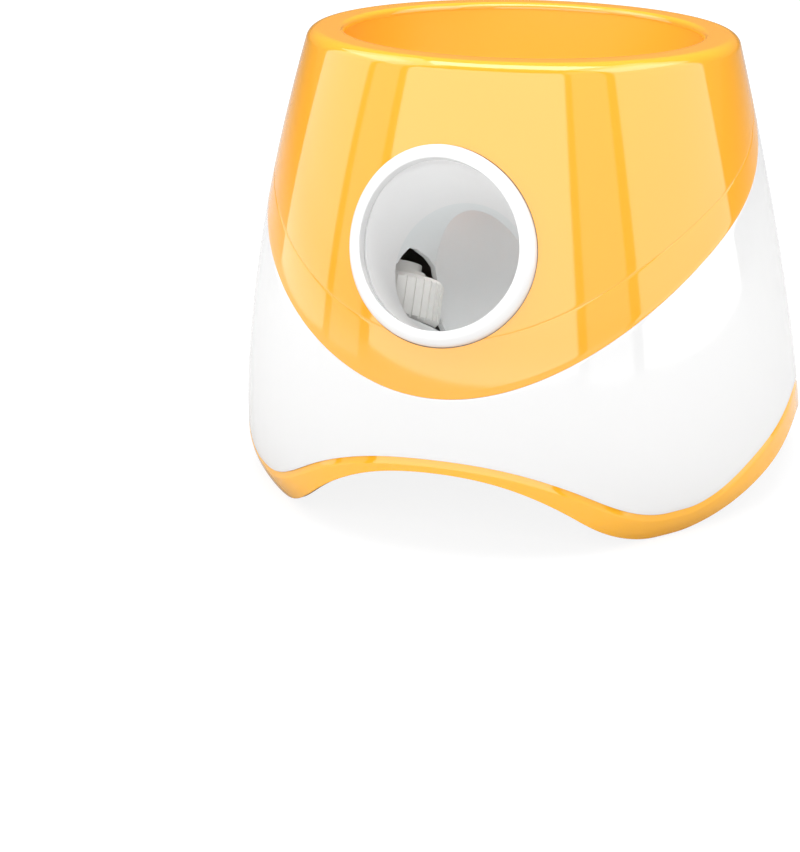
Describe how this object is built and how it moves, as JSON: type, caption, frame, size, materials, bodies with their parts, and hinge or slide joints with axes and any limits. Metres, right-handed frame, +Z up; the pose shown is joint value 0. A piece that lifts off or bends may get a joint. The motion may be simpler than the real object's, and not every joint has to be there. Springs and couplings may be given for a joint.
{
  "type": "automatic dog ball launcher",
  "caption": "Round automatic ball launcher for a small dog: open bowl on top, slanted muzzle at the front, spinning launch wheels and a ball stop inside, wavy skirt on four feet.",
  "frame": {"origin": "centre of the footprint on the floor, under the body", "axes": "+Z up; the muzzle faces -Y and upwards; +X is to the right when seen from the front"},
  "size_m": [0.2659, 0.2637, 0.2181],
  "materials": {
    "hood_plastic": "glossy amber-yellow ABS",
    "bowl_plastic": "glossy amber-yellow ABS",
    "band_plastic": "glossy amber-yellow ABS",
    "skirt_plastic": "glossy white ABS",
    "bezel_plastic": "glossy white ABS",
    "barrel_plastic": "satin pale grey ABS",
    "chamber_plastic": "satin pale grey ABS",
    "base_plastic": "satin white ABS",
    "hub_plastic": "satin off-white nylon",
    "tread_rubber": "soft off-white elastomer",
    "pad_rubber": "matt pale elastomer",
    "motor_steel": "plated steel can",
    "shaft_steel": "ground steel",
    "screw_steel": "zinc-plated steel",
    "bracket_plastic": "dark grey nylon",
    "stop_plastic": "white acetal",
    "gear_plastic": "ivory acetal",
    "gearmotor_metal": "brass gearbox on a steel can",
    "sensor_plastic": "black epoxy",
    "cell_wrap": "blue shrink wrap",
    "holder_plastic": "black polypropylene",
    "panel_plastic": "pale grey ABS",
    "button_plastic": "satin amber-yellow ABS",
    "light_plastic": "translucent white acrylic",
    "board_laminate": "green solder mask",
    "switch_body": "black switch body",
    "socket_metal": "nickel-plated shell",
    "speaker_black": "black frame and cone"
  },
  "bodies": {
    "launcher": {"upper_shell": "hood_plastic", "hopper_bowl": "bowl_plastic", "base_trim": "band_plastic", "body_shell": "skirt_plastic", "barrel_ring": "bezel_plastic", "launch_barrel": "barrel_plastic", "chamber_left": "chamber_plastic", "chamber_right": "chamber_plastic", "base_plate": "base_plastic", "foot_pads": "pad_rubber", "base_screws": "screw_steel", "chamber_screws": "screw_steel", "bracket_screws": "screw_steel", "motor_screws": "screw_steel", "board_screws": "screw_steel", "ball_stop_guide": "bracket_plastic", "stop_gearmotor": "gearmotor_metal", "sensor_emitter": "sensor_plastic", "sensor_receiver": "sensor_plastic", "battery_cells": "cell_wrap", "battery_holder": "holder_plastic", "control_panel": "panel_plastic", "status_lights": "light_plastic", "control_board": "board_laminate", "tact_switches": "switch_body", "usb_socket": "socket_metal", "speaker": "speaker_black", "motor_left": "motor_steel", "motor_bracket_left": "bracket_plastic", "motor_right": "motor_steel", "motor_bracket_right": "bracket_plastic"},
    "wheel_left": {"wheel_hub_left": "hub_plastic", "wheel_tread_left": "tread_rubber", "motor_shaft_left": "shaft_steel"},
    "wheel_right": {"wheel_hub_right": "hub_plastic", "wheel_tread_right": "tread_rubber", "motor_shaft_right": "shaft_steel"},
    "ball_stop": {"ball_stop": "stop_plastic"},
    "stop_pinion": {"stop_pinion": "gear_plastic"},
    "power_button": {"power_button": "button_plastic"},
    "distance_button": {"distance_button": "button_plastic"}
  },
  "joints": [
    {"name": "wheel_left_spin", "type": "hinge", "parent": "launcher", "child": "wheel_left", "pos_m": [-0.049, -0.06106, 0.0924], "axis": [0, 0.4695, 0.8829], "continuous": true},
    {"name": "wheel_right_spin", "type": "hinge", "parent": "launcher", "child": "wheel_right", "pos_m": [0.049, -0.06106, 0.0924], "axis": [0, 0.4695, 0.8829], "continuous": true},
    {"name": "ball_stop_slide", "type": "slide", "parent": "launcher", "child": "ball_stop", "axis": [0, 1, 0], "range_m": [0, 0.024]},
    {"name": "stop_pinion_spin", "type": "hinge", "parent": "launcher", "child": "stop_pinion", "pos_m": [0.01, 0.01606, 0.132], "axis": [0, 0, 1], "range_deg": [-240, 10]},
    {"name": "power_button_press", "type": "slide", "parent": "launcher", "child": "power_button", "axis": [0, -1, 0], "range_m": [0, 0.0005], "stiffness_N_per_m": 900},
    {"name": "distance_button_press", "type": "slide", "parent": "launcher", "child": "distance_button", "axis": [0, -1, 0], "range_m": [0, 0.0005], "stiffness_N_per_m": 900}
  ],
  "couplings": [
    {"joint": "stop_pinion_spin", "follows": "ball_stop_slide", "rad_per_m": -166.67}
  ]
}
